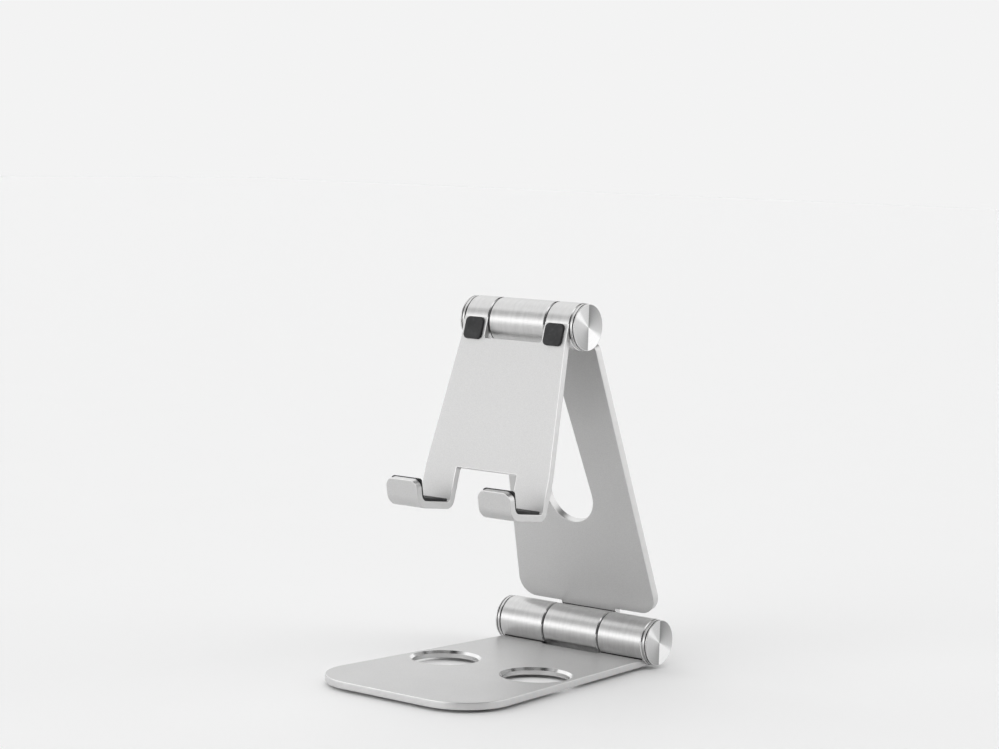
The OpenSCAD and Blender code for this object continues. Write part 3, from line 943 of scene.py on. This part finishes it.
def make_foot(name):
    """A silicone foot: a soft rim and a shallow ring moulded into its tread."""
    low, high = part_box(name)
    middle = (low + high) / 2
    radius = (high.x - low.x) / 2 / MM
    height = (high.z - low.z) / MM
    standing = Matrix.Translation((middle.x, middle.y, low.z)) @ Matrix.Rotation(-math.pi / 2, 4, "Y")
    place = standing @ Matrix.Scale(MM, 4)
    section = [
        (0.0, 0),
        (0.0, radius * 0.45),
        (0.12, radius * 0.49),
        (0.12, radius * 0.6),
        (0.0, radius * 0.64),
        (0.0, radius - 0.35),
        (0.1, radius - 0.1),
        (0.35, radius),
        (height, radius),
        (height, 0),
    ]
    profile = [(x, r, 0) for x, r in section]
    foot = finish_mesh(lathe(profile, place, FOOT_SEGMENTS), name + "_pad", [M_FOOT])
    keep_flat_faces_flat(foot)
    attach(foot, "base")
    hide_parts(name)


make_base()
make_upright()
make_cradle()
for side, word in ((-1, "left"), (1, "right")):
    make_liner(side, "liner_" + word)
    make_ear_pad(side, "ear_pad_" + word)
    make_cap(side, LOWER_HALF, AT_LOWER, M_LOWER_FACE, "base", "lower_cap_" + word)
    make_cap(side, UPPER_HALF, IN_CRADLE, M_UPPER_FACE, "cradle", "upper_cap_" + word)
    make_washer(side, AT_LOWER, "base", "lower_washer_" + word)
    make_washer(side, IN_CRADLE, "cradle", "upper_washer_" + word)
    make_foot("foot_front_" + word)
    make_foot("foot_rear_" + word)


# ---- Floor, light and camera ----

FLOOR_HALF = 6.0
# Just under the feet, so that the two surfaces don't coincide
FLOOR_Z = -0.00005
floor_mesh = bpy.data.meshes.new("floor")
signs = [(-1, -1), (1, -1), (1, 1), (-1, 1)]
floor_mesh.from_pydata([(a * FLOOR_HALF, b * FLOOR_HALF, FLOOR_Z) for a, b in signs], [], [(0, 1, 2, 3)])
floor = bpy.data.objects.new("floor", floor_mesh)
bpy.context.scene.collection.objects.link(floor)
floor_surface = Surface("floor_white", grey(0.97), 0.7)
floor_surface.rough(floor_surface.between(floor_surface.noise(40), 0.62, 0.78))
floor_mesh.materials.append(floor_surface.material)

# The strength of the tent, the least that its darker panels leave, and what the camera sees behind
TENT_LIGHT = 1.33
DARKEST = 0.04
BACKDROP = 0.897
# Azimuth and elevation of a panel, its inner and outer radius in degrees, and what it adds
TENT_PANELS = [
    (-39, 0, 26, 56, 0.8),
    (-46, 30, 5, 20, -1.7),
    (58, 0, 34, 56, -1.2),
    (0, 90, 12, 26, -1.1),
    (-48, 74, 8, 24, -0.85),
    (144, 66, 8, 24, -0.95),
    (170, 42, 8, 24, -1.1),
    (-141, 4, 12, 38, -0.3),
]


def direction(azimuth, elevation):
    """The way to a panel: azimuth 0 is the stand's front, and 90 its right."""
    a, e = math.radians(azimuth), math.radians(elevation)
    return Vector((math.sin(a) * math.cos(e), -math.cos(a) * math.cos(e), math.sin(e)))


def make_world():
    """A soft studio: an even tent of light with a bright panel and darker ones, and a plain backdrop."""
    world = bpy.data.worlds.new("studio")
    bpy.context.scene.world = world
    world.use_nodes = True
    tree = world.node_tree
    background = tree.nodes["Background"]
    background.inputs["Color"].default_value = (1, 1, 1, 1)
    looking = add_node(tree, "ShaderNodeTexCoord").outputs["Generated"]
    light = add_node(tree, "ShaderNodeValue").outputs["Value"]
    light.default_value = TENT_LIGHT
    for azimuth, elevation, inner, outer, amount in TENT_PANELS:
        facing = add_node(tree, "ShaderNodeVectorMath", operation="DOT_PRODUCT")
        facing.inputs[1].default_value = direction(azimuth, elevation)
        tree.links.new(looking, facing.inputs[0])
        panel = add_node(tree, "ShaderNodeMapRange", interpolation_type="SMOOTHSTEP")
        panel.inputs["From Min"].default_value = math.cos(math.radians(outer))
        panel.inputs["From Max"].default_value = math.cos(math.radians(inner))
        panel.inputs["To Max"].default_value = amount
        tree.links.new(facing.outputs["Value"], panel.inputs["Value"])
        both = add_node(tree, "ShaderNodeMath", operation="ADD")
        tree.links.new(panel.outputs["Result"], both.inputs[0])
        tree.links.new(light, both.inputs[1])
        light = both.outputs["Value"]
    limited = add_node(tree, "ShaderNodeMath", operation="MAXIMUM")
    limited.inputs[1].default_value = DARKEST
    tree.links.new(light, limited.inputs[0])
    seen = add_node(tree, "ShaderNodeLightPath").outputs["Is Camera Ray"]
    mix = add_node(tree, "ShaderNodeMix", data_type="FLOAT")
    mix.inputs["B"].default_value = BACKDROP
    tree.links.new(seen, mix.inputs["Factor"])
    tree.links.new(limited.outputs["Value"], mix.inputs["A"])
    tree.links.new(mix.outputs["Result"], background.inputs["Strength"])


make_world()

# Where the camera stands from the lower hinge, and its tilt, roll and heading
STANDPOINT = Vector((0.534838, -0.717502, 0.173366))
CAMERA_TURN = Euler((math.radians(84.634), math.radians(-1.479), math.radians(38.865)))
LENS_MM = 92.76
SENSOR_MM = 36.0
FARTHEST = 20.0
camera_data = bpy.data.cameras.new("camera")
camera_data.lens = LENS_MM
camera_data.sensor_width = SENSOR_MM
camera_data.clip_end = FARTHEST
camera = bpy.data.objects.new("camera", camera_data)
bpy.context.scene.collection.objects.link(camera)
camera.matrix_world = Matrix.Translation(LOWER + STANDPOINT) @ CAMERA_TURN.to_matrix().to_4x4()
bpy.context.scene.camera = camera
bpy.context.scene.view_settings.view_transform = "Standard"
